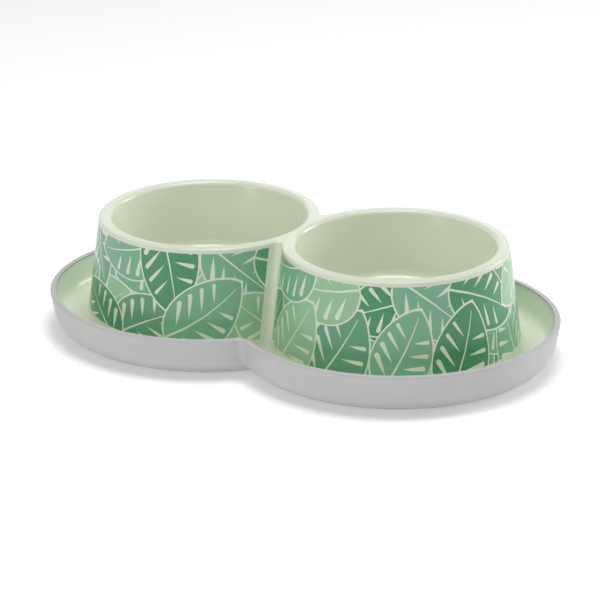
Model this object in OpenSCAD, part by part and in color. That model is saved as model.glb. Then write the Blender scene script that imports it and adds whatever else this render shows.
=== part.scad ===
// Double pet bowl: two drinking and feeding bowls on one spill tray.
// One moulding carries both bowls, their skirts and the tray. A soft rim is moulded
// round the tray's wall, and a printed film is moulded into each skirt.
// Millimetres, +Z up. The origin is on the table, midway between the bowls.
// -Y is the front, and the bowls stand side by side along X.

/* [Bowls] */
// Radius of each bowl's mouth, where its lip rounding starts
bowl_r = 60; // [50:0.5:70]
// Width of the web between the two mouths, where it is narrowest
web_w = 7.5; // [6:0.1:9]
// Depth of each bowl, from the lip's crest to the floor
bowl_depth = 41; // [32:0.5:50]
// Lean of each bowl's wall from upright, in degrees
bowl_lean = 11; // [6:0.5:14]
// Radius between each bowl's wall and floor
bowl_corner_r = 12; // [6:0.5:18]

/* [Lips and skirts] */
// Height of the lips above the table
body_h = 71.2; // [64:0.2:80]
// Width of each lip, from the bowl's mouth to the skirt's outer face
lip_w = 7.8; // [6.4:0.1:9.5]
// Rounding of the lip into the bowl
lip_round_r = 2.2; // [1:0.1:2.4]
// Rounding of the lip's outer edge
lip_edge_r = 0.9; // [0.5:0.1:1.2]
// Lean of the skirts from upright, in degrees
skirt_lean = 7.8; // [5:0.2:10]
// Radius that blends each skirt into the tray's floor
skirt_foot_r = 6; // [4.5:0.5:8]
// Radius of the blend in the valley where the two skirts meet
valley_r = 3.5; // [2.5:0.1:4.5]
// Wall thickness of the hard moulding
wall = 2; // [1.6:0.1:2.6]

/* [Tray] */
// Height of the tray's rim above the table
tray_h = 25; // [22:0.5:30]
// Reach of the tray past the lips' outer edge
tray_reach = 31.6; // [26:0.2:38]
// Height of the tray's floor above the table
tray_floor = 5.8; // [4.4:0.1:7]
// Lean of the tray's side from upright, in degrees
tray_lean = 10.4; // [6:0.2:14]
// Radius of the tray's bottom edge, outside
tray_edge_r = 13.7; // [11:0.1:15]
// Radius between the tray's floor and its wall, inside
tray_corner_r = 8.5; // [6.5:0.1:9]
// Radius of the blend in the notches at the tray's waist
notch_r = 4.5; // [3:0.1:6]

/* [Soft rim] */
// Thickness of the soft skin outside the hard wall
skin = 1.3; // [1:0.1:1.8]
// Height of the soft cap above the hard wall's top
cap_h = 1.2; // [1:0.1:2]
// Rounding of the cap's outer edge
cap_edge_r = 1.3; // [0.8:0.1:1.6]
// Rounding of the cap's inner edge
cap_inner_r = 0.6; // [0.4:0.1:0.8]
// How far the cap stands proud of the hard wall, inside the tray
cap_proud = 0.3; // [0.2:0.05:0.6]
// Width of the flat foot under the tray's edge
foot_w = 5; // [3:0.2:7]

/* [Printed labels] */
// Thickness of each film
label_t = 0.3; // [0.2:0.05:0.5]
// Height of the films' lower edge above the table
label_bottom = 14.2; // [13.6:0.1:18]
// Bare band between the lip's crest and the films' upper edge
label_top_gap = 3; // [2:0.1:5]
// Half width of the bare strip between the two films
label_strip = 4.3; // [4.1:0.1:7]
// Clearance between a film and its seat
label_clearance = 0; // [0:0.01:0.05]

/* [Moulding marks] */
// Radius of the gate mark under each bowl's floor
gate_r = 2; // [1:0.1:3]
// Height of the gate mark
gate_h = 0.6; // [0.3:0.1:1]

/* [Hidden] */
$fn = 144;

// Steps of the round stretches of an outline
edge_steps = 7;
small_steps = 4;
// Overrun of every cut
over = 1;
// How far a blend's cutter bites past the surface that it runs into
bite = 0.1;
// Depth of the blends' filling inside the solid that carries it
fill_depth = 6;
// Bends of the blends round the tray's bottom edge and the skirts' foot, in degrees below level
notch_bends = [26, 42, 58, 74];
foot_bends = [26, 42, 58, 72];
// Height of the bend in the valley between the skirts, as a share of the skirts' height
valley_bend_share = 0.45;
// Angle at which an edge's flare leaves the blend under it, in degrees
flare_start = 25;

half = bowl_r + web_w / 2;
floor_under = tray_floor - wall;
cap_base = tray_h - cap_h;
lip_outer_r = bowl_r + lip_w;
tray_r = lip_outer_r + tray_reach;
bowl_floor = body_h - bowl_depth;
label_top = body_h - label_top_gap;

// Round stretch of an outline from angle a to angle b
function arc(c, r, a, b, n) = [
    for (i = [0 : n])
        let (t = a + (b - a) * i / n)
        [c[0] + r * cos(t), c[1] + r * sin(t)]
];

// Distance from the front-to-back axis at which two circles of radius r meet
function meet_y(r) = sqrt(r * r - half * half);

// Skirt's outer radius at a height
function skirt_r(z) = lip_outer_r + (body_h - z) * tan(skirt_lean);

// Centre of the blend between the skirt and the tray's floor
foot_c_z = tray_floor + skirt_foot_r;
foot_c_r = skirt_r(foot_c_z) + skirt_foot_r / cos(skirt_lean);

// Outline of the skirts' solid, set in by d from their outer face
function skirt_outline(d, top, edge) = concat(
    [[0, floor_under - d], [foot_c_r, floor_under - d]],
    arc([foot_c_r, foot_c_z], skirt_foot_r + d, 270, 180 + skirt_lean, edge_steps),
    edge > 0
        ? arc([skirt_r(top) - edge / cos(skirt_lean) + edge * tan(skirt_lean), top - edge],
            edge, skirt_lean, 90, small_steps)
        : [[skirt_r(top) - d / cos(skirt_lean), top]],
    [[0, top]]
);

// Bowl wall's radius at a height, and the height where the lip rounding starts
mouth_z = body_h - lip_round_r + lip_round_r * sin(bowl_lean);
function bowl_wall_r(z) = bowl_r - (mouth_z - z) * tan(bowl_lean);
corner_z = bowl_floor + bowl_corner_r;
corner_r = bowl_wall_r(corner_z) - bowl_corner_r / cos(bowl_lean);

// Outline of the space in a bowl
bowl_outline = concat(
    [[0, bowl_floor]],
    arc([corner_r, corner_z], bowl_corner_r, -90, -bowl_lean, edge_steps),
    arc([bowl_r + lip_round_r * cos(bowl_lean), body_h - lip_round_r], lip_round_r,
        180 - bowl_lean, 90, small_steps),
    [[bowl_r + lip_round_r * cos(bowl_lean), body_h + over], [0, body_h + over]]
);

// Outline of a bowl's outside, one wall outside that space
bowl_shell_outline = concat(
    [[0, bowl_floor - wall]],
    arc([corner_r, corner_z], bowl_corner_r + wall, -90, -bowl_lean, edge_steps),
    [[bowl_wall_r(body_h) + wall / cos(bowl_lean), body_h], [0, body_h]]
);

// Tray's outer radius at a height
side_top = tray_h - cap_edge_r;
function side_r(z) = tray_r - (side_top - z) * tan(tray_lean);

// Centre of a rounded bottom edge of radius r whose lowest point is at height z,
// under a side set in by d from the tray's outer face
function edge_center(d, z, r) = [side_r(z + r) - (d + r) / cos(tray_lean), z + r];
rim_edge = edge_center(0, 0, tray_edge_r);
floor_edge = edge_center(skin + wall, tray_floor, tray_corner_r);

// Outline of a tray-shaped solid, with its edge's centre and radius, cut off at bottom and top
function tray_outline(d, c, r, bottom, top) = concat(
    [[0, bottom]],
    arc(c, r, -asin(min(1, (c[1] - bottom) / r)), -tray_lean, edge_steps),
    [[side_r(top) - d / cos(tray_lean), top], [0, top]]
);

// Outline of the soft rim's outside, with the cap's rounded crest
rim_outline = concat(
    [[0, 0]],
    arc(rim_edge, tray_edge_r, -90, -tray_lean, edge_steps),
    arc([tray_r - cap_edge_r * cos(tray_lean), side_top], cap_edge_r,
        -tray_lean, 90, small_steps),
    [[0, tray_h]]
);

// Radius of the cap's mouth, and the outline of the space inside the cap
cap_mouth_r = side_r(cap_base) - (skin + wall) / cos(tray_lean) - cap_proud;
cap_outline = concat(
    [[0, cap_base], [cap_mouth_r, cap_base]],
    arc([cap_mouth_r + cap_inner_r, tray_h - cap_inner_r], cap_inner_r, 180, 90, small_steps),
    [[cap_mouth_r + cap_inner_r, tray_h + over], [0, tray_h + over]]
);
foot_inner_r = rim_edge[0] - foot_w;

// Points of a blend's centre line in the plane between the bowls, as [y, z].
// Each follows a ball that rolls in the valley, off the surface by k.
function skirt_point(z, k) = [meet_y(skirt_r(z) + k / cos(skirt_lean)), z];
function side_point(z, k) = [meet_y(side_r(z) + k / cos(tray_lean)), z];
function edge_point(c, r, a) = [meet_y(c[0] + r * cos(a)), c[1] - r * sin(a)];
function foot_point(r, a) = [meet_y(foot_c_r - r * cos(a)), foot_c_z - r * sin(a)];
function tray_line(c, r, k) = concat(
    [side_point(tray_h + over, k)],
    [for (a = concat([tray_lean], notch_bends)) edge_point(c, r + k, a)]
);
valley_bends = [body_h + over, tray_floor + valley_bend_share * (body_h - tray_floor)];
foot_angles = concat([skirt_lean], foot_bends);
function skirt_line(k) = concat(
    [for (z = valley_bends) skirt_point(z, k)],
    [for (a = foot_angles) foot_point(skirt_foot_r - k, a)]
);
skirt_inner_line = concat(
    [for (z = valley_bends) [0, z]],
    [for (a = foot_angles) foot_point(skirt_foot_r + fill_depth, a)]
);

// Half width of a blend's filling on a stretch of its centre line
function fill_half_w(p, q, r) =
    let (near = norm([half, p[0]]), far = norm([half, q[0]]), rise = q[1] - p[1])
    2 * r * half / (near + far) * abs(rise) / norm([far - near, rise]);

// A solid of revolution round each bowl's centre
module twin(outline) {
    for (side = [-1, 1])
        translate([side * half, 0, 0])
            rotate_extrude()
                polygon(outline);
}

// Cylinder of radius r along one stretch of a blend's centre line
module blend_cutter(p, q, r) {
    run = norm(q - p);
    translate([0, p[0], p[1]])
        rotate([-atan2(q[0] - p[0], q[1] - p[1]), 0, 0])
            translate([0, 0, -r / 2])
                cylinder(r = r, h = run + r);
}

// Filling of the valley in front of and behind the waist, rounded by a ball of radius r.
// The outer line is the ball's path, and the inner line lies inside the solid.
// Children are further cutters, placed at the front valley's mirror image.
module waist_blend(outer, inner, r, bottom, top) {
    reach = max([for (p = outer) p[0]]) + r;
    for (side = [0, 1])
        mirror([0, side, 0])
            difference() {
                intersection() {
                    union() {
                        for (i = [0 : len(outer) - 2])
                            rotate([90, 0, 90])
                                linear_extrude(2 * fill_half_w(outer[i], outer[i + 1], r), center = true)
                                    polygon([outer[i], outer[i + 1], inner[i + 1], inner[i]]);
                    }
                    translate([-reach, 0, bottom])
                        cube([2 * reach, reach, top - bottom]);
                }
                for (i = [0 : len(outer) - 2])
                    blend_cutter(outer[i], outer[i + 1], r);
                children();
            }
}

// Cutter that carries a rounded outer edge round a blend of radius r at height top
module flare(y, r, edge, top) {
    translate([0, y, 0])
        rotate_extrude()
            polygon(concat(
                [[0, top - edge + edge * sin(flare_start)]],
                arc([r + edge, top - edge], edge, 180 - flare_start, 90, small_steps),
                [[r + edge, top + over], [0, top + over]]
            ));
}

// Both skirts as one solid, set in by d from their outer face
module skirts(d, top, edge) {
    line = skirt_line(valley_r - bite);
    twin(skirt_outline(d, top, edge));
    waist_blend(line, skirt_inner_line, valley_r + d, floor_under - d, top) {
        if (edge > 0)
            flare(line[0][0], valley_r, edge, top);
    }
}

// A tray-shaped solid, set in by d from the outer face, with its edge's centre and radius
module tray(d, c, r, bottom, top) {
    twin(tray_outline(d, c, r, bottom, top));
    waist_blend(tray_line(c, r + d, notch_r - bite), tray_line(c, r, -fill_depth),
        notch_r + d, bottom, top);
}

// The hard wall's outside, and the space inside the tray
module tray_outside() {
    tray(skin, rim_edge, tray_edge_r - skin, floor_under, cap_base);
}

module tray_space() {
    tray(skin + wall, floor_edge, tray_corner_r, tray_floor, cap_base + over);
}

// The soft rim's outside as one solid
module rim_outside() {
    line = tray_line(rim_edge, tray_edge_r, notch_r - bite);
    twin(rim_outline);
    waist_blend(line, tray_line(rim_edge, tray_edge_r, -fill_depth), notch_r, 0, tray_h)
        flare(line[0][0], notch_r, cap_edge_r, tray_h);
}

// Space inside the cap, rounded at the notches to follow its outer edge
module cap_mouth() {
    ball_r = side_r(tray_h) + notch_r / cos(tray_lean);
    r = ball_r - cap_mouth_r;
    y = meet_y(ball_r - bite);
    twin(cap_outline);
    waist_blend([[y, tray_h + over], [y, cap_base]], [[half, tray_h + over], [half, cap_base]],
        r - cap_inner_r, cap_base, tray_h + over)
        translate([0, y, 0])
            rotate_extrude()
                polygon(concat(
                    [[0, cap_base - over], [r, cap_base - over]],
                    arc([r - cap_inner_r, tray_h - cap_inner_r], cap_inner_r, 0, 90, small_steps),
                    [[0, tray_h]]
                ));
}

// Space inside the foot, rounded at the notches in the same way
module foot_mouth() {
    r = notch_r + foot_w;
    y = meet_y(foot_inner_r + r - bite);
    top = floor_under + over;
    twin([[0, -over], [foot_inner_r, -over], [foot_inner_r, top], [0, top]]);
    waist_blend([[y, top], [y, -over]], [[0, top], [0, -over]], r, -over, top);
}

// Space that one film fills, grown by a clearance and open outwards by reach
module film(side, clearance, reach) {
    low = label_bottom - clearance;
    high = label_top + clearance;
    back = (label_t + clearance) / cos(skirt_lean);
    span = skirt_r(low) + reach;
    intersection() {
        translate([side * half, 0, 0])
            rotate_extrude()
                polygon([
                    [skirt_r(low) - back, low],
                    [skirt_r(low) + reach, low],
                    [skirt_r(high) + reach, high],
                    [skirt_r(high) - back, high]
                ]);
        translate([side > 0 ? label_strip - clearance : -half - span, -span, low])
            cube([half + span - label_strip + clearance, 2 * span, high - low]);
    }
}

module bowl_body() {
    color([0.86, 0.90, 0.82])
        difference() {
            union() {
                difference() {
                    tray_outside();
                    tray_space();
                }
                skirts(0, body_h, lip_edge_r);
            }
            difference() {
                skirts(wall, body_h - wall, 0);
                twin(bowl_shell_outline);
                for (side = [-1, 1])
                    translate([side * half, 0, bowl_floor - wall - gate_h])
                        cylinder(r = gate_r, h = gate_h + wall / 2);
            }
            twin(bowl_outline);
            for (side = [-1, 1])
                film(side, label_clearance, over);
        }
}

module non_slip_rim() {
    color([0.76, 0.76, 0.76])
        difference() {
            rim_outside();
            tray_outside();
            cap_mouth();
            foot_mouth();
        }
}

module left_label() {
    color([0.35, 0.58, 0.44])
        film(-1, 0, 0);
}

module right_label() {
    color([0.30, 0.52, 0.42])
        film(1, 0, 0);
}

bowl_body();
non_slip_rim();
left_label();
right_label();
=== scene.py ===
"""Double pet bowl: the moulded body, its soft rim, the printed films and a small studio.

Metres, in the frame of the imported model: +Z up, -Y the front, and the bowls side by side along X.
"""

import math
import random
from typing import NamedTuple

import bmesh
import bpy
from bpy.props import FloatProperty, FloatVectorProperty, IntProperty, PointerProperty
from bpy.types import Operator, Panel, PropertyGroup
from mathutils import Matrix, Vector
from mathutils.geometry import delaunay_2d_cdt


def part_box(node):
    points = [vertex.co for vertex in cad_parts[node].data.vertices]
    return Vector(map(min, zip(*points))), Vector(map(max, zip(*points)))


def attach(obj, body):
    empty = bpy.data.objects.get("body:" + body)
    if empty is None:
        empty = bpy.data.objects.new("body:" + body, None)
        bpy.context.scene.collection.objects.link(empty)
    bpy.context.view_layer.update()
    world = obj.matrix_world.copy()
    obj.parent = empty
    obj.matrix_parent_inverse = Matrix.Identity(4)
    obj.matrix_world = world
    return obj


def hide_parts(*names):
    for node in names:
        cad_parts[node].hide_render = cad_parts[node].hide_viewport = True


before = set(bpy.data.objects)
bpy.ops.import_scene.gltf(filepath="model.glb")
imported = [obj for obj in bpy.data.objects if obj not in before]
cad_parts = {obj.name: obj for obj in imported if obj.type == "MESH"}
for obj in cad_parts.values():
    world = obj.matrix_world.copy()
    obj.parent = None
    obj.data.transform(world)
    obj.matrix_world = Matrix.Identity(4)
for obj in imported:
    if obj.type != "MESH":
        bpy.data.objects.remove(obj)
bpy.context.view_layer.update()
BODY_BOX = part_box("bowl_body")
RIM_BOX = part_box("non_slip_rim")
FILM_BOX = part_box("right_label")

bl_info = {
    "name": "Double Pet Bowl",
    "version": (1, 0, 0),
    "blender": (4, 5, 0),
    "location": "3D View > Sidebar > Double Bowl",
    "description": "Builds a double pet bowl on a spill tray, with its soft rim and printed films",
    "category": "Object",
}


# Sizes and colours


def length(name, text, default):
    """A size in metres."""
    return FloatProperty(
        name=name,
        description=text,
        default=default,
        min=0.0,
        precision=5,
        unit="LENGTH",
        subtype="DISTANCE",
    )


def slope(name, text, degrees):
    """A lean, given in degrees."""
    return FloatProperty(
        name=name,
        description=text,
        default=math.radians(degrees),
        min=0.0,
        unit="ROTATION",
        subtype="ANGLE",
    )


def colour(name, text, default):
    """A colour, as linear red, green and blue."""
    return FloatVectorProperty(
        name=name,
        description=text,
        default=default,
        size=3,
        min=0.0,
        max=1.0,
        subtype="COLOR",
    )


class BowlSizes(PropertyGroup):
    """Sizes of the hard moulding: both bowls, their lips and skirts, and the tray."""

    half: length("Half Spacing", "Distance from the middle plane to each bowl's axis", 0.06375)
    mouth_r: length("Mouth Radius", "Radius of each bowl's mouth, where its lip rounding starts", 0.060)
    depth: length("Bowl Depth", "Depth of each bowl, from the lip to the floor", 0.041)
    bowl_lean: slope("Bowl Lean", "Lean of each bowl's wall from upright", 11)
    corner_r: length("Bowl Corner", "Radius between each bowl's wall and its floor", 0.007)
    lip_h: length("Lip Height", "Height of the lips above the table", BODY_BOX[1][2])
    lip_w: length("Lip Width", "Width of each lip, from the mouth to the skirt", 0.0078)
    lip_round_r: length("Lip Rounding", "Rounding of the lip into the bowl", 0.0030)
    lip_edge_r: length("Lip Edge", "Rounding of the lip's outer edge", 0.0012)
    lip_fall: length("Lip Fall", "How far the lip falls from its crest to its outer edge", 0.0003)
    skirt_lean: slope("Skirt Lean", "Lean of the skirts from upright", 7.8)
    foot_r: length("Skirt Foot", "Radius of the blend between the skirts and the tray's floor", 0.006)
    valley_r: length("Valley", "Radius of the blend where the two skirts meet", 0.0035)
    wall: length("Wall", "Thickness of the hard moulding", 0.002)
    tray_floor: length("Tray Floor", "Height of the tray's floor above the table", 0.0058)
    tray_corner_r: length("Tray Corner", "Radius between the tray's floor and its wall", 0.0085)
    wall_top: length("Wall Top", "Height of the hard wall's top, under the soft cap", 0.0238)
    gate_r: length("Gate Mark", "Radius of the gate mark under each bowl", 0.002)
    gate_h: length("Gate Height", "Height of the gate mark", 0.0006)


class RimSizes(PropertyGroup):
    """Sizes of the soft rim round the tray."""

    top: length("Rim Height", "Height of the rim's crest above the table", RIM_BOX[1][2])
    side_r: length("Rim Radius", "Radius of the rim's side under its rounded crest", 0.09934)
    lean: slope("Side Lean", "Lean of the rim's side from upright", 10.4)
    edge_r: length("Bottom Edge", "Radius of the rim's bottom edge", 0.0137)
    crest_r: length("Crest Rounding", "Rounding of the crest, outside", 0.0013)
    mouth_round_r: length("Mouth Rounding", "Rounding of the crest, inside", 0.0006)
    skin: length("Skin", "Thickness of the rim outside the hard wall", 0.0013)
    proud: length("Lap", "How far the crest stands proud of the hard wall, inside", 0.0003)
    notch_r: length("Notch", "Radius of the blend at the tray's waist", 0.0045)
    foot_w: length("Foot Width", "Width of the flat foot under the edge", 0.005)


class FilmSizes(PropertyGroup):
    """Sizes of the printed films and of the leaves on them."""

    thickness: length("Film Thickness", "Thickness of each film", 0.0003)
    bottom: length("Lower Edge", "Height of the films' lower edge", FILM_BOX[0][2])
    top: length("Upper Edge", "Height of the films' upper edge", FILM_BOX[1][2])
    strip: length("Bare Strip", "Half width of the bare strip between the films", FILM_BOX[0][0])
    leaf_length: length("Leaf Length", "Length of a leaf", 0.054)
    leaf_width: length("Leaf Width", "Width of a leaf", 0.037)
    line: length("Leaf Line", "Width of the pale line round each leaf", 0.0009)
    seed: IntProperty(name="Print Seed", description="Seed of the leaves' layout", default=5, min=0)


class BowlColours(PropertyGroup):
    """Colours of the plastics, the inks and the floor."""

    plastic: colour("Plastic", "Pale green of the hard moulding", (0.792, 0.846, 0.698))
    rubber: colour("Rubber", "Light grey of the soft rim", (0.570, 0.570, 0.566))
    ink_line: colour("Line", "Pale line between the leaves", (0.78, 0.85, 0.69))
    ink_deep: colour("Deep Ink", "Deep green ink", (0.061, 0.313, 0.150))
    ink_mid: colour("Mid Ink", "Middle green ink", (0.126, 0.383, 0.229))
    ink_teal: colour("Teal Ink", "Blue green ink", (0.205, 0.490, 0.318))
    ink_light: colour("Light Ink", "Light green ink", (0.338, 0.606, 0.368))
    floor: colour("Floor", "Pale floor", (0.97, 0.97, 0.97))


# Rows of points round the right half of the object, which is mirrored to the left

ARC_STEPS = 56
BLEND_STEPS = 8
MIDDLE_STEPS = 16

# Least angle between the end of a row's arc and the start of its valley
VALLEY_GAP = math.radians(0.3)


def ring_point(cx, r, turn, z):
    """A point at radius r from the bowl's axis, turned from +X to the left."""
    return Vector((cx + r * math.cos(turn), r * math.sin(turn), z))


def round_row(cx, r, z, tilt, ball, strip, level=0.0, sink=0.0):
    """Points round the right half of a surface, at radius r from the bowl's axis and height z.

    The row starts in the front valley, on the middle plane, runs round the bowl and ends in the back
    valley. The valley is what a ball leaves that rolls between both halves, whose centre lies off the
    surface in a direction that is tilted down from level. level turns the valley's stretch level, and
    sink sets the surface in beyond the bare strip, for a film's seat.
    """
    reach = r + ball * math.cos(tilt)
    y = math.sqrt(reach * reach - cx * cx)
    centre = Vector((0, y, z - ball * math.sin(tilt)))
    touch = Vector((cx / reach * math.cos(tilt), -y / reach * math.cos(tilt), math.sin(tilt)))
    middle = Vector((0, touch.y, touch.z)).normalized()
    flat_centre = Vector((0, y, z))
    flat_touch = Vector((cx, -y, 0)) / reach
    flat_middle = Vector((0, -1, 0))
    valley = []
    for i in range(BLEND_STEPS + 1):
        t = i / BLEND_STEPS
        at = centre + ball * touch.lerp(middle, t).normalized()
        flat_at = flat_centre + ball * math.cos(tilt) * flat_touch.lerp(flat_middle, t).normalized()
        valley.append(at.lerp(flat_at, level))
    last = math.atan2(y, -cx) - VALLEY_GAP
    outer = min(math.acos((strip - cx) / r), last)
    inner = min(math.acos((strip - cx) / (r - sink)), last)
    back = [ring_point(cx, r - sink, inner * i / ARC_STEPS, z) for i in range(ARC_STEPS + 1)]
    back.append(ring_point(cx, r, outer, z))
    back.extend(valley)
    front = [Vector((p.x, -p.y, p.z)) for p in back[:0:-1]]
    return front + back


def close_row(row, cx):
    """The row, closed along the middle plane from its back end to its front end."""
    a, b = row[-1], row[0]
    turn = math.atan2(a.y, cx)
    middle = []
    for i in range(1, MIDDLE_STEPS):
        y = cx * math.tan(turn * (1 - 2 * i / MIDDLE_STEPS))
        middle.append(Vector((0, y, (a.z + b.z) / 2)))
    return row + middle


def circle_row(row, cx, r, z):
    """A row round the bowl's axis, with each point in the direction of the given row's."""
    return [ring_point(cx, r, math.atan2(p.y, p.x - cx), z) for p in row]


def turn_steps(a, b, n):
    """Angles from a to b, in degrees, as radians."""
    return [math.radians(a + (b - a) * i / n) for i in range(n + 1)]


def between(a, b, n):
    """n heights between a and b, without both."""
    return [a + (b - a) * i / (n + 1) for i in range(1, n + 1)]


# Modelling tools

# Nearest that two points of a moulding and of a film may be, and the shortest edge, in metres
SEAM_GAP = 2e-6
FILM_GAP = 6e-6
SHORTEST_EDGE = 1e-7

SMOOTH_ANGLE = math.radians(34)


def clear_selection():
    """Leaves edit mode and deselects every object."""
    if bpy.context.object and bpy.context.object.mode != "OBJECT":
        bpy.ops.object.mode_set(mode="OBJECT")
    bpy.ops.object.select_all(action="DESELECT")


def new_piece(name):
    """An empty mesh at the origin, open for modelling in edit mode."""
    clear_selection()
    bpy.ops.mesh.primitive_circle_add(location=(0, 0, 0))
    piece = bpy.context.object
    piece.name = piece.data.name = name
    bpy.ops.object.mode_set(mode="EDIT")
    bpy.ops.mesh.select_all(action="SELECT")
    bpy.ops.mesh.delete(type="VERT")
    return piece


def sweep(rows, closed):
    """Adds a circle, opens it unless closed, puts it on the first row and extrudes it to each next."""
    bpy.ops.mesh.select_all(action="DESELECT")
    bpy.ops.mesh.primitive_circle_add(vertices=len(rows[0]))
    mesh = bmesh.from_edit_mesh(bpy.context.object.data)
    row = [next(v for v in mesh.verts if v.select)]
    while len(row) < len(rows[0]):
        ends = [e.other_vert(row[-1]) for e in row[-1].link_edges]
        row.append(next(v for v in ends if v not in row[-2:]))
    if not closed:
        bpy.ops.mesh.select_all(action="DESELECT")
        next(e for e in row[0].link_edges if e.other_vert(row[0]) == row[-1]).select_set(True)
        bpy.ops.mesh.delete(type="EDGE_FACE")
        for a, b in zip(row, row[1:]):
            next(e for e in a.link_edges if e.other_vert(a) == b).select_set(True)
    for v, p in zip(row, rows[0]):
        v.co = p
    for points in rows[1:]:
        bpy.ops.mesh.extrude_edges_move()
        grown = []
        for v, p in zip(row, points):
            top = next(e.other_vert(v) for e in v.link_edges if e.other_vert(v).select)
            top.co = p
            grown.append(top)
        row = grown


def finish_half(piece):
    """Mirrors the half piece, closes its seam and gives it even outward normals."""
    bpy.ops.mesh.select_all(action="SELECT")
    bpy.ops.mesh.remove_doubles(threshold=SEAM_GAP)
    bpy.ops.object.mode_set(mode="OBJECT")
    mirror = piece.modifiers.new("Mirror", "MIRROR")
    mirror.use_clip = True
    mirror.merge_threshold = SEAM_GAP
    bpy.ops.object.modifier_apply(modifier=mirror.name)
    bpy.ops.object.mode_set(mode="EDIT")
    bpy.ops.mesh.select_all(action="SELECT")
    bpy.ops.mesh.remove_doubles(threshold=SEAM_GAP)
    bpy.ops.mesh.dissolve_degenerate(threshold=SHORTEST_EDGE)
    bpy.ops.mesh.normals_make_consistent(inside=False)
    bpy.ops.object.mode_set(mode="OBJECT")
    bpy.ops.object.shade_smooth_by_angle(angle=SMOOTH_ANGLE)
    even = piece.modifiers.new("Weighted Normal", "WEIGHTED_NORMAL")
    even.keep_sharp = True
    bpy.ops.object.modifier_apply(modifier=even.name)


def check_closed(piece):
    """Raises an error where the piece's mesh has an open edge."""
    mesh = bmesh.new()
    mesh.from_mesh(piece.data)
    loose = sum(1 for e in mesh.edges if not e.is_manifold)
    mesh.free()
    if loose:
        raise RuntimeError(f"{piece.name} has {loose} open edges")


# Surfaces that the hard moulding and the soft rim share

HIDDEN_EDGE_STEPS = 8

# The valley's rows turn level over the last stretch below a crest: how far under it the turn
# starts, and the height it takes.
SKIRT_LEVEL_START, SKIRT_LEVEL_RUN = 0.012, 0.010
SIDE_LEVEL_START, SIDE_LEVEL_RUN = 0.008, 0.006


def skirt_radius(bowl, z):
    """Radius of the skirt's outside at height z."""
    return bowl.mouth_r + bowl.lip_w + (bowl.lip_h - z) * math.tan(bowl.skirt_lean)


def side_radius(rim, z):
    """Radius of the soft rim's outside at height z."""
    return rim.side_r - (rim.top - rim.crest_r - z) * math.tan(rim.lean)


def edge_centre(rim, inset, z, r):
    """Centre of a rounding of radius r that stands on height z and meets the inset side."""
    return side_radius(rim, z + r) - (inset + r) / math.cos(rim.lean), z + r


def side_rows(bowl, rim, film, heights, inset, ball):
    """Rows along the tray's side at these heights, inset from the soft rim's outside."""
    rows = []
    for z in heights:
        level = min(1.0, max(0.0, (z - rim.top + SIDE_LEVEL_START) / SIDE_LEVEL_RUN))
        r = side_radius(rim, z) - inset / math.cos(rim.lean)
        rows.append(round_row(bowl.half, r, z, rim.lean, ball, film.strip, level))
    return rows


def edge_rows(bowl, rim, film, centre, r, ball, last, steps):
    """Rows down a rounding under the tray's side, from the side's lean to the last angle."""
    rows = []
    for a in turn_steps(math.degrees(rim.lean), last, steps):
        at = (centre[0] + r * math.cos(a), centre[1] - r * math.sin(a))
        rows.append(round_row(bowl.half, at[0], at[1], a, ball, film.strip))
    return rows


def hidden_edge_rows(bowl, rim, film):
    """Rows down the hard wall's rounded bottom edge, under the soft skin, to the floor's underside."""
    centre = edge_centre(rim, 0, 0, rim.edge_r)
    r = rim.edge_r - rim.skin
    plate = bowl.tray_floor - bowl.wall
    last = math.degrees(math.asin((centre[1] - plate) / r))
    ball = rim.notch_r + rim.skin
    return edge_rows(bowl, rim, film, centre, r, ball, last, HIDDEN_EDGE_STEPS)


# The hard moulding

LIP_EDGE_STEPS = 9
LIP_ROUND_STEPS = 8
CUP_CORNER_STEPS = 10
UNDER_CORNER_STEPS = 8
FOOT_STEPS = 10
TRAY_CORNER_STEPS = 10
CUP_WALL_ROWS = 6
FILM_SEAT_ROWS = 14
TRAY_WALL_ROWS = 5
OUTER_WALL_ROWS = 3
INNER_SKIRT_ROWS = 12

# Shares of the way from the lip's outer edge to its crest, and of the corner's radius on the floors
LIP_SHARES = (0.06, 0.5, 0.94)
FLOOR_SHARES = (0.97, 0.75, 0.5, 0.25, 0.06)
UNDER_FLOOR_SHARES = (0.97, 0.6, 0.25)


def skirt_rows(bowl, film, heights, inset, ball, sink=0.0):
    """Rows along the skirt at these heights, inset from its outside."""
    rows = []
    for z in heights:
        level = min(1.0, max(0.0, (z - bowl.lip_h + SKIRT_LEVEL_START) / SKIRT_LEVEL_RUN))
        r = skirt_radius(bowl, z) - inset / math.cos(bowl.skirt_lean)
        rows.append(round_row(bowl.half, r, z, -bowl.skirt_lean, ball, film.strip, level, sink))
    return rows


def foot_centre(bowl):
    """Centre of the blend between the skirt and the tray's floor."""
    z = bowl.tray_floor + bowl.foot_r
    return skirt_radius(bowl, z) + bowl.foot_r / math.cos(bowl.skirt_lean), z


def foot_rows(bowl, film, inset, ball):
    """Rows down the blend from the skirt to the tray's floor."""
    cr, cz = foot_centre(bowl)
    r = bowl.foot_r + inset
    rows = []
    for a in turn_steps(math.degrees(bowl.skirt_lean), 90, FOOT_STEPS):
        at = (cr - r * math.cos(a), cz - r * math.sin(a))
        rows.append(round_row(bowl.half, at[0], at[1], -a, ball, film.strip))
    return rows


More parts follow.
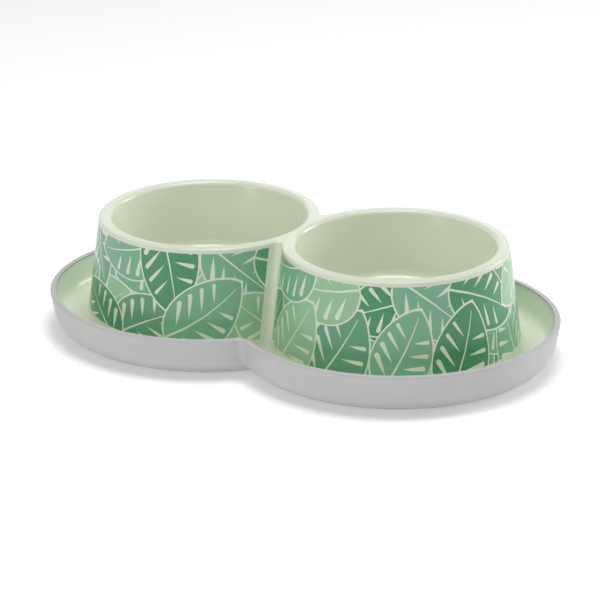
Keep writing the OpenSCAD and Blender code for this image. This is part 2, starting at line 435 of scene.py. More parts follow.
def lip_rows(bowl, film):
    """Rows of the lip's outer edge, from its top to the skirt."""
    lean, edge = bowl.skirt_lean, bowl.lip_edge_r
    z = bowl.lip_h - bowl.lip_fall - edge
    cr = skirt_radius(bowl, z) - edge / math.cos(lean)
    reach = cr + edge * math.cos(lean) + bowl.valley_r * math.cos(lean)
    slant = math.degrees(math.atan2(bowl.lip_fall, cr - bowl.mouth_r - bowl.lip_round_r))
    rows = []
    for a in turn_steps(90 - slant, math.degrees(lean), LIP_EDGE_STEPS):
        r = cr + edge * math.cos(a)
        rows.append(round_row(bowl.half, r, z + edge * math.sin(a), 0, reach - r, film.strip))
    return rows


def bowl_radius(bowl, z):
    """Radius of the bowl's inside at height z."""
    start = bowl.lip_h - bowl.lip_round_r + bowl.lip_round_r * math.sin(bowl.bowl_lean)
    return bowl.mouth_r - (start - z) * math.tan(bowl.bowl_lean)


def bowl_corner(bowl):
    """Centre of the rounding between the bowl's wall and its floor."""
    z = bowl.lip_h - bowl.depth + bowl.corner_r
    return bowl_radius(bowl, z) - bowl.corner_r / math.cos(bowl.bowl_lean), z


def cup_rows(bowl, outline):
    """Closed rows from the lip's outline over its crest into the bowl, to near the floor's middle."""
    cx, rounding, corner = bowl.half, bowl.lip_round_r, bowl.corner_r
    loop = close_row(outline, cx)
    crest_r = bowl.mouth_r + rounding * math.cos(bowl.bowl_lean)
    crest_z = bowl.lip_h - rounding
    crest = circle_row(loop, cx, crest_r, bowl.lip_h)
    fall = bowl.lip_h - loop[0].z
    for p in loop[len(outline):]:
        share = min(1.0, (math.hypot(cx, p.y) - crest_r) / (bowl.lip_w - rounding))
        p.z = bowl.lip_h - fall * share
    rows = [loop]
    for share in LIP_SHARES:
        rows.append([a.lerp(b, share) for a, b in zip(loop, crest)])
    lean = math.degrees(bowl.bowl_lean)
    for a in turn_steps(90, 180 - lean, LIP_ROUND_STEPS):
        r, z = crest_r + rounding * math.cos(a), crest_z + rounding * math.sin(a)
        rows.append(circle_row(loop, cx, r, z))
    cr, cz = bowl_corner(bowl)
    mouth_z = rows[-1][0].z
    low_z = cz - corner * math.sin(bowl.bowl_lean)
    for z in between(mouth_z, low_z, CUP_WALL_ROWS):
        rows.append(circle_row(loop, cx, bowl_radius(bowl, z), z))
    for a in turn_steps(-lean, -90, CUP_CORNER_STEPS):
        rows.append(circle_row(loop, cx, cr + corner * math.cos(a), cz + corner * math.sin(a)))
    for share in FLOOR_SHARES:
        rows.append(circle_row(loop, cx, cr * share, cz - corner))
    return rows


def under_rows(bowl, outline):
    """Closed rows under the lip and down the bowl's outside, to the gate mark's rim."""
    cx, wall = bowl.half, bowl.wall
    loop = close_row(outline, cx)
    lean = math.degrees(bowl.bowl_lean)
    grow = wall / math.cos(bowl.bowl_lean)
    cr, cz = bowl_corner(bowl)
    top = loop[0].z
    r = bowl.corner_r + wall
    rows = [loop]
    low_z = cz - r * math.sin(bowl.bowl_lean)
    for z in [top, *between(top, low_z, CUP_WALL_ROWS)]:
        rows.append(circle_row(loop, cx, bowl_radius(bowl, z) + grow, z))
    for a in turn_steps(-lean, -90, UNDER_CORNER_STEPS):
        rows.append(circle_row(loop, cx, cr + r * math.cos(a), cz + r * math.sin(a)))
    floor = cz - r
    for share in UNDER_FLOOR_SHARES:
        rows.append(circle_row(loop, cx, cr * share, floor))
    rows.append(circle_row(loop, cx, bowl.gate_r, floor))
    rows.append(circle_row(loop, cx, bowl.gate_r, floor - bowl.gate_h))
    return rows


def skin_rows(bowl, rim, film):
    """Rows from the lip's outline down the skirt, over the tray and its wall, and back under it all."""
    sink = film.thickness / math.cos(bowl.skirt_lean)
    valley, wall, foot = bowl.valley_r, bowl.wall, foot_centre(bowl)
    foot_top = foot[1] - bowl.foot_r * math.sin(bowl.skirt_lean)
    rows = lip_rows(bowl, film)
    start = bowl.lip_h - bowl.lip_fall - bowl.lip_edge_r
    rows += skirt_rows(bowl, film, [*between(start, film.top, 1), film.top], 0, valley)
    heights = [film.top, *between(film.top, film.bottom, FILM_SEAT_ROWS), film.bottom]
    rows += skirt_rows(bowl, film, heights, 0, valley, sink)
    rows += skirt_rows(bowl, film, [film.bottom, *between(film.bottom, foot_top, 1)], 0, valley)
    rows += foot_rows(bowl, film, 0, valley)
    inset = rim.skin + wall
    corner_r = bowl.tray_corner_r
    corner = edge_centre(rim, inset, bowl.tray_floor, corner_r)
    inside = rim.notch_r + inset
    rows += edge_rows(bowl, rim, film, corner, corner_r, inside, 90, TRAY_CORNER_STEPS)[::-1]
    corner_top = corner[1] - corner_r * math.sin(rim.lean)
    heights = [*between(corner_top, bowl.wall_top, TRAY_WALL_ROWS), bowl.wall_top]
    rows += side_rows(bowl, rim, film, heights, inset, inside)
    edge_top = rim.edge_r - (rim.edge_r - rim.skin) * math.sin(rim.lean)
    heights = [bowl.wall_top, *between(bowl.wall_top, edge_top, OUTER_WALL_ROWS)]
    rows += side_rows(bowl, rim, film, heights, rim.skin, rim.notch_r + rim.skin)
    rows += hidden_edge_rows(bowl, rim, film)
    inner = valley + wall
    rows += foot_rows(bowl, film, wall, inner)[::-1]
    under = bowl.lip_h - wall
    heights = [*between(foot_top, under, INNER_SKIRT_ROWS), under]
    rows += skirt_rows(bowl, film, heights, wall, inner)
    return rows


def make_body(bowl, rim, film):
    """The hard moulding: its skin, then both faces of the cup, swept from the skin's ends."""
    piece = new_piece("bowl_body_moulding")
    skin = skin_rows(bowl, rim, film)
    sweep(skin, False)
    sweep(cup_rows(bowl, skin[0]), True)
    bpy.ops.mesh.merge(type="CENTER")
    sweep(under_rows(bowl, skin[-1]), True)
    bpy.ops.mesh.merge(type="CENTER")
    finish_half(piece)
    check_closed(piece)
    return piece


# The soft rim

BOTTOM_EDGE_STEPS = 14
CREST_STEPS = 8
MOUTH_STEPS = 5
SIDE_ROWS = 5
CREST_SHARES = (0.12, 0.88)


def make_rim(bowl, rim, film):
    """The soft rim: up its outside, over its crest, down along the hard wall and round its foot."""
    piece = new_piece("soft_rim_moulding")
    cx, strip, notch = bowl.half, film.strip, rim.notch_r
    edge = edge_centre(rim, 0, 0, rim.edge_r)
    rows = edge_rows(bowl, rim, film, edge, rim.edge_r, notch, 90, BOTTOM_EDGE_STEPS)[::-1]
    side_top = rim.top - rim.crest_r
    edge_top = edge[1] - rim.edge_r * math.sin(rim.lean)
    heights = [*between(edge_top, side_top, SIDE_ROWS), side_top]
    rows += side_rows(bowl, rim, film, heights, 0, notch)
    reach = rim.side_r + notch * math.cos(rim.lean)

    def flat_row(r, z):
        """A row of the level crest, with the side's valley."""
        return round_row(cx, r, z, 0, reach - r, strip)

    lean = math.degrees(rim.lean)
    cr = rim.side_r - rim.crest_r * math.cos(rim.lean)
    for a in turn_steps(-lean, 90, CREST_STEPS)[1:]:
        rows.append(flat_row(cr + rim.crest_r * math.cos(a), side_top + rim.crest_r * math.sin(a)))
    inset = rim.skin + bowl.wall
    seat = bowl.wall_top
    mouth_r = side_radius(rim, seat) - inset / math.cos(rim.lean) - rim.proud
    small = rim.mouth_round_r
    for share in CREST_SHARES:
        rows.append(flat_row(cr + (mouth_r + small - cr) * share, rim.top))
    for a in turn_steps(90, 180, MOUTH_STEPS):
        r, z = mouth_r + small + small * math.cos(a), rim.top - small + small * math.sin(a)
        rows.append(flat_row(r, z))
    rows.append(flat_row(mouth_r, seat))
    rows += side_rows(bowl, rim, film, [seat], rim.skin, notch + rim.skin)
    rows += hidden_edge_rows(bowl, rim, film)
    foot_r = edge[0] - rim.foot_w
    for z in (bowl.tray_floor - bowl.wall, 0):
        rows.append(round_row(cx, foot_r, z, 0, notch + rim.foot_w, strip))
    rows.append(rows[0])
    sweep(rows, False)
    finish_half(piece)
    check_closed(piece)
    return piece


# The leaf print, in millimetres on the unrolled film

MM = 1000
LINE_INK, DEEP_INK, MID_INK, TEAL_INK, LIGHT_INK = range(5)
GROUND_INK = DEEP_INK

# The inks run through this order from leaf to leaf. Each row starts some inks further on, and
# after every few leaves one ink is passed over
INK_ORDER = (DEEP_INK, LIGHT_INK, MID_INK, TEAL_INK, LIGHT_INK, DEEP_INK, TEAL_INK, MID_INK)
INK_ROW_START, INK_SKIP_EVERY = 3, 4

# A leaf: how its width rises at the foot and falls to the tip, its outline's steps, and how many
# line widths the pale line reaches past the tip
LEAF_FULLNESS, LEAF_RISE, LEAF_FALL = 2.425, 0.55, 0.75
LEAF_STEPS = 17
TIP_LINE = 2.2

# The middle rib: half its width at the tip, what it gains towards the foot, and where it is measured
RIB_TIP, RIB_GAIN = 0.14, 0.62
RIB_SHARES = (0.0, 0.25, 0.5, 0.75, 0.92)

# The drops beside the rib, as shares of the leaf's length: where the first starts, the run of
# all of them, how far one slants ahead to its round end, and how much less the next does
DROP_FIRST, DROP_RUN = 0.13, 0.64
DROP_SLANT, DROP_SLANT_LESS = 0.19, 0.02

# A drop's point, ahead of its start and off the rib, and its round end, as a share of the way
# out, and the least half width of leaf that has drops
DROP_POINT_ALONG, DROP_POINT_ACROSS, DROP_OFF_RIB = 0.03, 0.14, 0.8
DROP_END_ACROSS = 0.86
DROP_LEAST_HALF = 7

# A drop's width and how much less the next has, the steps of its round end, and where its sides
# bend: the share of its length, and of half its width
DROP_WIDTH, DROP_WIDTH_LESS = 3.2, 0.3
DROP_STEPS = 7
DROP_BEND_ALONG, DROP_BEND_HALF = 0.5, 0.66

# The layout: two rows of leaves in front, and behind them fillers in the middle and at both rows.
# The rows' heights off the film's edges, the drops of the leaves behind and in front, and how far
# each leaf turns (in degrees), shifts, bends and grows
ROW_OFF_LOWER, ROW_OFF_UPPER = 11, 9
LOWER_ROW, UPPER_ROW, MIDDLE_FILL, EDGE_FILL = range(4)
UNDER_DROPS, FRONT_DROPS = 3, 4
TURN_RANGE = (20, 80)
SHIFT_RANGE = (-4, 4)
BEND_RANGE = (-0.004, 0.004)
GROWTH_RANGE = (0.9, 1.08)

# The film's mesh: steps along its edges and up its ends, the spacing of the points inside it, and
# the nearest that two points may be
EDGE_STEPS, END_STEPS = 100, 18
GRID_STEP, GRID_START, GRID_STAGGER = 3.7, 1.3, 0.9
GRID_ROWS = 8
POINT_GAP = 0.002

# How nearly a film's face has to face along the skirt's normal to take it
FACING_LIMIT = 0.7


def leaf_half_width(t):
    """Share of a leaf's half width at a share t of its length: round foot, pointed tip."""
    if not 0 < t < 1:
        return 0.0
    return LEAF_FULLNESS * t**LEAF_RISE * (1 - t) ** LEAF_FALL


def place(points, at, turn, bend):
    """A leaf's points, x along its middle line, bent, turned and put on the film, anticlockwise."""
    out = []
    for x, y in points:
        b = bend * x * x
        c, s = math.cos(turn), math.sin(turn)
        out.append((at[0] + c * x - s * (y + b), at[1] + s * x + c * (y + b)))
    area = sum(a[0] * b[1] - b[0] * a[1] for a, b in zip(out, out[1:] + out[:1]))
    return out if area > 0 else out[::-1]


def leaf_outline(size, width, grow):
    """Outline of a leaf, grown by a line's width."""
    ts = [(1 - math.cos(math.pi * i / LEAF_STEPS)) / 2 for i in range(1, LEAF_STEPS)]
    upper = [(size * t + grow * (2 * t - 1), leaf_half_width(t) * width / 2 + grow) for t in ts]
    lower = [(x, -y) for x, y in upper]
    return [(-grow, 0)] + lower + [(size + TIP_LINE * grow, 0)] + upper[::-1]


def drop(start, end, wide):
    """A drop with its point at the start and its round end at the end."""
    (ax, ay), (bx, by) = start, end
    run = math.hypot(bx - ax, by - ay)
    dx, dy = (bx - ax) / run, (by - ay) / run
    r = wide / 2
    mid = DROP_BEND_ALONG * (run - r)
    shape = [(0, 0), (mid, -DROP_BEND_HALF * r)]
    for i in range(DROP_STEPS + 1):
        a = math.pi * (i / DROP_STEPS - 0.5)
        shape.append((run - r + r * math.cos(a), r * math.sin(a)))
    shape.append((mid, DROP_BEND_HALF * r))
    return [(ax + dx * x - dy * y, ay + dy * x + dx * y) for x, y in shape]


def printed_leaf(at, turn, bend, size, width, line, drops, ink):
    """Shapes of a leaf with a middle rib and slanted drops: (ink, points) in drawing order."""
    shapes = [(LINE_INK, leaf_outline(size, width, line)), (ink, leaf_outline(size, width, 0))]
    rib = [(size * t, RIB_GAIN * (1 - t) + RIB_TIP) for t in RIB_SHARES]
    shapes.append((LINE_INK, [(x, -y) for x, y in rib] + rib[::-1]))
    for i in range(drops):
        t = DROP_FIRST + DROP_RUN / drops * i
        t_end = t + DROP_SLANT - DROP_SLANT_LESS * i
        half = leaf_half_width(t_end) * width / 2
        if half < DROP_LEAST_HALF:
            continue
        for side in (1, -1):
            across = side * (DROP_POINT_ACROSS * half + DROP_OFF_RIB)
            start = (size * (t + DROP_POINT_ALONG), across)
            end = (size * t_end, side * DROP_END_ACROSS * half)
            shapes.append((LINE_INK, drop(start, end, DROP_WIDTH - DROP_WIDTH_LESS * i)))
    return [(shape_ink, place(points, at, turn, bend)) for shape_ink, points in shapes]


def print_shapes(film, reach, low, high, seed):
    """All shapes of one film's print, in drawing order."""
    dice = random.Random(seed)
    line = film.line * MM
    size, width = film.leaf_length * MM, film.leaf_width * MM
    n = round(2 * reach / width)
    step = 2 * reach / n
    rows = (low + ROW_OFF_LOWER, high - ROW_OFF_UPPER)
    under = [(-reach + (j + 0.5) * step, (low + high) / 2, MIDDLE_FILL, j) for j in range(n)]
    under += [(-reach + j * step, v, EDGE_FILL, j) for j in range(n + 1) for v in rows]
    front = []
    for k in (LOWER_ROW, UPPER_ROW):
        front += [(-reach + (j + 0.5 * k) * step, rows[k], k, j) for j in range(n + 1)]
    shapes = []
    for group, drops in ((under, UNDER_DROPS), (front, FRONT_DROPS)):
        dice.shuffle(group)
        for u, v, k, j in group:
            turn = math.radians(90 + dice.choice((-1, 1)) * dice.uniform(*TURN_RANGE))
            # The upper row's leaves point down, and so do about half of those behind.
            if k == UPPER_ROW or (k > UPPER_ROW and dice.random() < 0.5):
                turn += math.pi
            u += dice.uniform(*SHIFT_RANGE)
            v += dice.uniform(*SHIFT_RANGE)
            bend = dice.uniform(*BEND_RANGE)
            grow = dice.uniform(*GROWTH_RANGE)
            start = (u - math.cos(turn) * size * grow / 2, v - math.sin(turn) * size * grow / 2)
            ink = INK_ORDER[(j + INK_ROW_START * k + j // INK_SKIP_EVERY) % len(INK_ORDER)]
            shapes += printed_leaf(start, turn, bend, size * grow, width * grow, line, drops, ink)
    return shapes


def film_border(low, high, half_arc):
    """The film's outline on the unrolled skirt, whose half length at a height is half_arc(height)."""
    heights = [low + (high - low) * i / END_STEPS for i in range(END_STEPS + 1)]
    foot, head = half_arc(low), half_arc(high)
    border = [(-foot + 2 * foot * i / EDGE_STEPS, low) for i in range(EDGE_STEPS)]
    border += [(half_arc(v), v) for v in heights[:-1]]
    border += [(head - 2 * head * i / EDGE_STEPS, high) for i in range(EDGE_STEPS)]
    border += [(-half_arc(v), v) for v in heights[:0:-1]]
    return border


def film_mesh(bowl, film, side, seed):
    """Triangles of one film's printed face, with an ink for each."""
    low, high = film.bottom * MM, film.top * MM
    mean = skirt_radius(bowl, (film.bottom + film.top) / 2) * MM

    def half_arc(v):
        """Half the film's length on the unrolled skirt, at height v."""
        return math.acos((film.strip - bowl.half) / skirt_radius(bowl, v / MM)) * mean

    reach = half_arc(low)
    shapes = [(GROUND_INK, film_border(low, high, half_arc))]
    shapes += print_shapes(film, half_arc((low + high) / 2), low, high, seed)
    points, faces, inks = [], [], []
    for ink, outline in shapes:
        faces.append(list(range(len(points), len(points) + len(outline))))
        points += [Vector(p) for p in outline]
        inks.append(ink)
    for i in range(int(2 * reach / GRID_STEP)):
        for j in range(GRID_ROWS):
            u = -reach + GRID_START + GRID_STEP * i + GRID_STAGGER * (j % 2)
            v = low + (high - low) * (j + 0.5) / GRID_ROWS
            points.append(Vector((u, v)))
    verts, _, tris, _, _, owners = delaunay_2d_cdt(points, [], faces, 1, POINT_GAP)
    kept = [(tri, inks[max(o)]) for tri, o in zip(tris, owners) if 0 in o]
    start = math.pi if side < 0 else 0
    placed = []
    for u, v in verts:
        z = v / MM
        placed.append(ring_point(side * bowl.half, skirt_radius(bowl, z), u / mean + start, z))
    return placed, kept


def round_film_normals(bowl, piece, side):
    """Gives the film's two faces the skirt's own normals, and keeps its thin edges flat."""
    centre = Vector((side * bowl.half, 0, 0))
    normals = []
    for face in piece.data.polygons:
        for i in face.vertices:
            out = piece.data.vertices[i].co - centre
            out.z = 0
            out = out.normalized() * math.cos(bowl.skirt_lean)
            out.z = math.sin(bowl.skirt_lean)
            facing = face.normal.dot(out)
            if abs(facing) < FACING_LIMIT:
                out = face.normal
            elif facing < 0:
                out = -out
            normals.append(out.copy())
    piece.data.normals_split_custom_set(normals)


def make_film(bowl, film, side, name, materials, seed):
    """One printed film on the left (-1) or right (1) skirt, with each leaf a shape of its own ink."""
    clear_selection()
    points, kept = film_mesh(bowl, film, side, seed)
    data = bpy.data.meshes.new(name)
    data.from_pydata(points, [], [list(tri) for tri, _ in kept])
    piece = bpy.data.objects.new(name, data)
    set_materials(piece, materials)
    data.polygons.foreach_set("material_index", [ink for _, ink in kept])
    bpy.context.scene.collection.objects.link(piece)
    bpy.context.view_layer.objects.active = piece
    piece.select_set(True)
    bpy.ops.object.mode_set(mode="EDIT")
    bpy.ops.mesh.select_all(action="SELECT")
    bpy.ops.mesh.remove_doubles(threshold=FILM_GAP)
    bpy.ops.mesh.delete_loose()
    bpy.ops.object.mode_set(mode="OBJECT")
    solid = piece.modifiers.new("Solidify", "SOLIDIFY")
    solid.thickness = film.thickness
    solid.offset = -1
    bpy.ops.object.modifier_apply(modifier=solid.name)
    bpy.ops.object.shade_smooth()
    round_film_normals(bowl, piece, side)
    check_closed(piece)
    return piece


# Materials


class Finish(NamedTuple):
    """How a moulded surface looks close up: its mottle, its gloss and its grain."""

    mottle: float
    mottle_scale: float
    roughness: float
    roughness_spread: float
    grain_scale: float
    grain_depth: float


PLASTIC_FINISH = Finish(
    mottle=0.02,
    mottle_scale=30,
    roughness=0.18,
    roughness_spread=0.04,
    grain_scale=1400,
    grain_depth=0.00001,
)
RUBBER_FINISH = Finish(
    mottle=0.06,
    mottle_scale=60,
    roughness=0.52,
    roughness_spread=0.10,
    grain_scale=1900,
    grain_depth=0.00006,
)
INK_FINISH = Finish(
    mottle=0.12,
    mottle_scale=90,
    roughness=0.36,
    roughness_spread=0.08,
    grain_scale=900,
    grain_depth=0.000015,
)
FLOOR_FINISH = Finish(
    mottle=0.01,
    mottle_scale=4,
    roughness=0.85,
    roughness_spread=0.02,
    grain_scale=300,
    grain_depth=0.00002,
)
PLASTIC_IOR = 1.49
RUBBER_IOR = 1.45
FILM_COAT, FILM_COAT_ROUGHNESS = 0.35, 0.16
GRAIN_STRENGTH = 0.5
MOTTLE_DETAIL, MOTTLE_ROUGHNESS = 3, 0.5
GRAIN_DETAIL, GRAIN_ROUGHNESS = 2, 0.6
INKS = ("ink_line", "ink_deep", "ink_mid", "ink_teal", "ink_light")


def noise(nodes, links, vector, scale, detail, rough):
    """A Noise Texture node's value."""
    node = nodes.new("ShaderNodeTexNoise")
    node.inputs["Detail"].default_value = detail
    node.inputs["Roughness"].default_value = rough
    links.new(vector, node.inputs["Vector"])
    links.new(scale, node.inputs["Scale"])
    return node.outputs["Fac"]


def maths(nodes, links, operation, *values):
    """A Math node's output. Each value is a number or another node's output."""
    node = nodes.new("ShaderNodeMath")
    node.operation = operation
    for socket, value in zip(node.inputs, values):
        if isinstance(value, float):
            socket.default_value = value
        else:
            links.new(value, socket)
    return node.outputs[0]


def moulded_group():
    """Slow mottle of colour and gloss, and the fine grain that a mould leaves."""
    name = "moulded_surface"
    if name in bpy.data.node_groups:
        return bpy.data.node_groups[name]
    group = bpy.data.node_groups.new(name, "ShaderNodeTree")
    for label, kind in (
        ("Color", "NodeSocketColor"),
        ("Mottle", "NodeSocketFloat"),
        ("Mottle Scale", "NodeSocketFloat"),
        ("Roughness", "NodeSocketFloat"),
        ("Roughness Spread", "NodeSocketFloat"),
        ("Grain Scale", "NodeSocketFloat"),
    ):
        group.interface.new_socket(label, in_out="INPUT", socket_type=kind)
    for label, kind in (
        ("Color", "NodeSocketColor"),
        ("Roughness", "NodeSocketFloat"),
        ("Height", "NodeSocketFloat"),
    ):
        group.interface.new_socket(label, in_out="OUTPUT", socket_type=kind)
    nodes, links = group.nodes, group.links
    start = nodes.new("NodeGroupInput").outputs
    end = nodes.new("NodeGroupOutput").inputs
    where = nodes.new("ShaderNodeTexCoord").outputs["Object"]
    slow = noise(nodes, links, where, start["Mottle Scale"], MOTTLE_DETAIL, MOTTLE_ROUGHNESS)
    fine = noise(nodes, links, where, start["Grain Scale"], GRAIN_DETAIL, GRAIN_ROUGHNESS)
    swing = maths(nodes, links, "SUBTRACT", slow, 0.5)
    value = maths(nodes, links, "MULTIPLY_ADD", swing, start["Mottle"], 1.0)
    rough = maths(nodes, links, "MULTIPLY_ADD", swing, start["Roughness Spread"], start["Roughness"])
    tint = nodes.new("ShaderNodeHueSaturation")
    links.new(start["Color"], tint.inputs["Color"])
    links.new(value, tint.inputs["Value"])
    links.new(tint.outputs["Color"], end["Color"])
    links.new(rough, end["Roughness"])
    links.new(fine, end["Height"])
    return group


def moulded_material(name, tone, finish):
    """A new material of this name, with the moulded surface on its Principled shader."""
    if name in bpy.data.materials:
        bpy.data.materials.remove(bpy.data.materials[name])
    material = bpy.data.materials.new(name)
    material.use_nodes = True
    nodes, links = material.node_tree.nodes, material.node_tree.links
    shader = nodes["Principled BSDF"]
    surface = nodes.new("ShaderNodeGroup")
    surface.node_tree = moulded_group()
    surface.inputs["Color"].default_value = (*tone, 1)
    surface.inputs["Mottle"].default_value = finish.mottle
    surface.inputs["Mottle Scale"].default_value = finish.mottle_scale
    surface.inputs["Roughness"].default_value = finish.roughness
    surface.inputs["Roughness Spread"].default_value = finish.roughness_spread
    surface.inputs["Grain Scale"].default_value = finish.grain_scale
    bump = nodes.new("ShaderNodeBump")
    bump.inputs["Distance"].default_value = finish.grain_depth
    bump.inputs["Strength"].default_value = GRAIN_STRENGTH
    links.new(surface.outputs["Height"], bump.inputs["Height"])
    links.new(bump.outputs["Normal"], shader.inputs["Normal"])
    links.new(surface.outputs["Color"], shader.inputs["Base Color"])
    links.new(surface.outputs["Roughness"], shader.inputs["Roughness"])
    return material, shader


def plastic_material(colours):
    """The hard moulding's softly glossy plastic."""
    material, shader = moulded_material("pale_green_plastic", colours.plastic, PLASTIC_FINISH)
    shader.inputs["IOR"].default_value = PLASTIC_IOR
    return material


def rubber_material(colours):
    """The soft rim's matt rubber."""
    material, shader = moulded_material("light_grey_rubber", colours.rubber, RUBBER_FINISH)
    shader.inputs["IOR"].default_value = RUBBER_IOR
    return material


def ink_materials(colours):
    """The films' inks under their clear face, in the order of the inks' numbers in the print."""
    materials = []
    for name in INKS:
        material, shader = moulded_material(name, getattr(colours, name), INK_FINISH)
        shader.inputs["Coat Weight"].default_value = FILM_COAT
        shader.inputs["Coat Roughness"].default_value = FILM_COAT_ROUGHNESS
        materials.append(material)
    return materials


def set_materials(piece, materials):
    """Gives the piece these materials and no others."""
    piece.data.materials.clear()
    for material in materials:
        piece.data.materials.append(material)


# Studio


class Softbox(NamedTuple):
    """A studio light: where it stands, its width and height, and its power in watts."""

    name: str
    place: tuple
    width: float
    height: float
    power: float


SOFTBOXES = (
    Softbox("top_softbox", (0.0, 0.15, 1.6), 0.8, 0.7, 14.5),
    Softbox("high_left_softbox", (-1.1, 0.1, 1.2), 0.9, 0.9, 1.3),
    Softbox("front_softbox", (0.7, -1.7, 0.75), 0.8, 0.8, 2.6),
    Softbox("front_left_softbox", (-0.65, -1.5, 0.45), 0.5, 0.6, 4.2),
    Softbox("right_softbox", (1.6, 0.1, 0.45), 0.8, 0.6, 1.4),
    Softbox("back_right_softbox", (1.2, 1.5, 0.5), 0.9, 0.8, 13.3),
    Softbox("back_card", (-1.45, 2.8, 1.0), 4.4, 1.0, 13.0),
)
LIGHT_AIM = Vector((0, 0, 0.03))
SKY_STRENGTH = 0.18
FLOOR_SIZE = 8
FLOOR_GLOW = 0.20
WHITE = (1, 1, 1, 1)

# The camera that the photograph's outlines gave: angles in radians, lengths in metres, and its lens
# and middle in pixels of a square frame
CAMERA_AIM = Vector((0, 0, 0.03116))
CAMERA_TURN, CAMERA_RISE, CAMERA_ROLL = 0.47786, 0.35720, 0.00586
CAMERA_DISTANCE = 1.71598
CAMERA_CLIP_END = 20
FOCAL_PX = 2804.108
MIDDLE_X_PX, MIDDLE_Y_PX = 301.489, 289.262
FRAME_PX = 600
SENSOR_MM = 36


def area_light(box):
    """A softbox, turned towards the object."""
    bpy.ops.object.light_add(type="AREA", location=box.place)
    light = bpy.context.object
    light.name = box.name
    light.data.shape = "RECTANGLE"
    light.data.size, light.data.size_y = box.width, box.height
    light.data.energy = box.power
    light.rotation_euler = (LIGHT_AIM - Vector(box.place)).to_track_quat("-Z", "Y").to_euler()


def studio_camera():
    """The camera at the photograph's place, turn and framing."""
    turn, rise = CAMERA_TURN, CAMERA_RISE
    back = Vector((math.sin(turn) * math.cos(rise), -math.cos(turn) * math.cos(rise), math.sin(rise)))
    right = Vector((math.cos(turn), math.sin(turn), 0))
    up = back.cross(right)
    level, tip = math.cos(CAMERA_ROLL), math.sin(CAMERA_ROLL)
    right, up = level * right - tip * up, tip * right + level * up
    bpy.ops.object.camera_add(location=(0, 0, 0))
    camera = bpy.context.object
    camera.name = "studio_camera"
    pose = Matrix((right, up, back)).transposed().to_4x4()
    pose.translation = CAMERA_AIM + back * CAMERA_DISTANCE
    camera.matrix_world = pose
    camera.data.sensor_width = SENSOR_MM
    camera.data.lens = FOCAL_PX / FRAME_PX * SENSOR_MM
    camera.data.shift_x = (FRAME_PX / 2 - MIDDLE_X_PX) / FRAME_PX
    camera.data.shift_y = (MIDDLE_Y_PX - FRAME_PX / 2) / FRAME_PX
    camera.data.clip_end = CAMERA_CLIP_END
    bpy.context.scene.camera = camera


def make_stage(colours):
    """A plain pale floor that glows slightly, a weak even sky, the softboxes and the camera."""
    clear_selection()
    bpy.ops.mesh.primitive_plane_add(size=FLOOR_SIZE, location=(0, 0, 0))
    floor = bpy.context.object
    floor.name = "studio_floor"
    material, shader = moulded_material("pale_floor", colours.floor, FLOOR_FINISH)
    shader.inputs["Emission Color"].default_value = WHITE
    shader.inputs["Emission Strength"].default_value = FLOOR_GLOW
    set_materials(floor, [material])
    world = bpy.data.worlds.new("studio_world")
    world.use_nodes = True
    sky = world.node_tree.nodes["Background"]
    sky.inputs["Color"].default_value = WHITE
    sky.inputs["Strength"].default_value = SKY_STRENGTH
    bpy.context.scene.world = world
    bpy.context.scene.view_settings.view_transform = "Standard"
    for box in SOFTBOXES:
        area_light(box)
    studio_camera()


# Operators, panel and registration


class DOUBLEBOWL_OT_body(Operator):
    """Model the hard moulding with both bowls, their skirts and the tray"""

    bl_idname = "double_bowl.body"
    bl_label = "Bowl Body"

    def execute(self, context):
        sizes = context.scene
        piece = make_body(sizes.bowl_sizes, sizes.rim_sizes, sizes.film_sizes)
        set_materials(piece, [plastic_material(sizes.bowl_colours)])
        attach(piece, "root")
        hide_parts("bowl_body")
        return {"FINISHED"}


class DOUBLEBOWL_OT_rim(Operator):
    """Model the soft rim round the tray"""

    bl_idname = "double_bowl.rim"
    bl_label = "Soft Rim"

    def execute(self, context):
        sizes = context.scene
        piece = make_rim(sizes.bowl_sizes, sizes.rim_sizes, sizes.film_sizes)
        set_materials(piece, [rubber_material(sizes.bowl_colours)])
        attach(piece, "root")
        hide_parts("non_slip_rim")
        return {"FINISHED"}


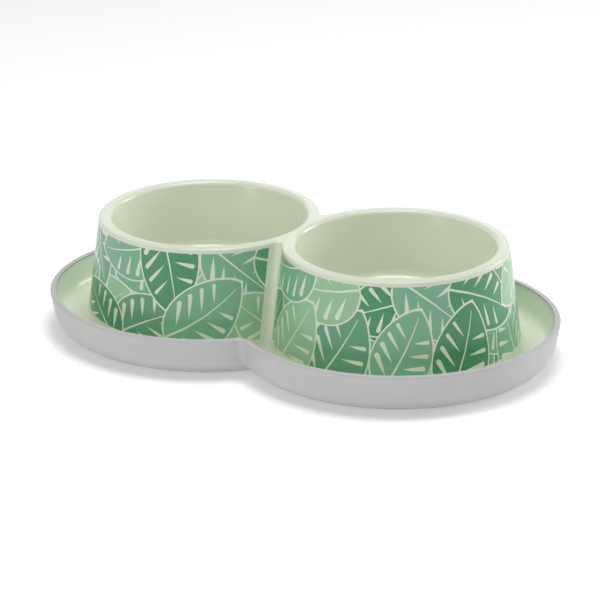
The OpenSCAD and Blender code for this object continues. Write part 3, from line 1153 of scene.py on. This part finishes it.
class DOUBLEBOWL_OT_films(Operator):
    """Model the two printed films in the skirts"""

    bl_idname = "double_bowl.films"
    bl_label = "Printed Films"

    def execute(self, context):
        sizes = context.scene
        materials = ink_materials(sizes.bowl_colours)
        for side, name, node in (
            (-1, "left_film", "left_label"),
            (1, "right_film", "right_label"),
        ):
            seed = sizes.film_sizes.seed + side
            piece = make_film(sizes.bowl_sizes, sizes.film_sizes, side, name, materials, seed)
            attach(piece, "root")
            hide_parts(node)
        return {"FINISHED"}


class DOUBLEBOWL_OT_stage(Operator):
    """Set up the floor, the light and the camera"""

    bl_idname = "double_bowl.stage"
    bl_label = "Stage"

    def execute(self, context):
        make_stage(context.scene.bowl_colours)
        return {"FINISHED"}


class DOUBLEBOWL_PT_panel(Panel):
    """The operators, and the sizes and colours that they use"""

    bl_label = "Double Bowl"
    bl_idname = "DOUBLEBOWL_PT_panel"
    bl_space_type = "VIEW_3D"
    bl_region_type = "UI"
    bl_category = "Double Bowl"

    def draw(self, context):
        column = self.layout.column()
        for operator in OPERATORS:
            column.operator(operator.bl_idname)
        for group in GROUPS:
            sizes = getattr(context.scene, group)
            box = column.box()
            for name in sizes.bl_rna.properties.keys():
                if name not in ("rna_type", "name"):
                    box.prop(sizes, name)


GROUPS = {
    "bowl_sizes": BowlSizes,
    "rim_sizes": RimSizes,
    "film_sizes": FilmSizes,
    "bowl_colours": BowlColours,
}
OPERATORS = (DOUBLEBOWL_OT_body, DOUBLEBOWL_OT_rim, DOUBLEBOWL_OT_films, DOUBLEBOWL_OT_stage)


def register():
    """Registers the classes and gives the scene its sizes and colours."""
    for group in GROUPS.values():
        bpy.utils.register_class(group)
    for operator in OPERATORS:
        bpy.utils.register_class(operator)
    bpy.utils.register_class(DOUBLEBOWL_PT_panel)
    for name, group in GROUPS.items():
        setattr(bpy.types.Scene, name, PointerProperty(type=group))


def unregister():
    """Takes the sizes, the colours and the classes out again."""
    for name in GROUPS:
        delattr(bpy.types.Scene, name)
    bpy.utils.unregister_class(DOUBLEBOWL_PT_panel)
    for operator in reversed(OPERATORS):
        bpy.utils.unregister_class(operator)
    for group in reversed(GROUPS.values()):
        bpy.utils.unregister_class(group)


def main():
    """Registers the add-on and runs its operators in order."""
    register()
    bpy.ops.double_bowl.body()
    bpy.ops.double_bowl.rim()
    bpy.ops.double_bowl.films()
    bpy.ops.double_bowl.stage()


if __name__ == "__main__":
    main()
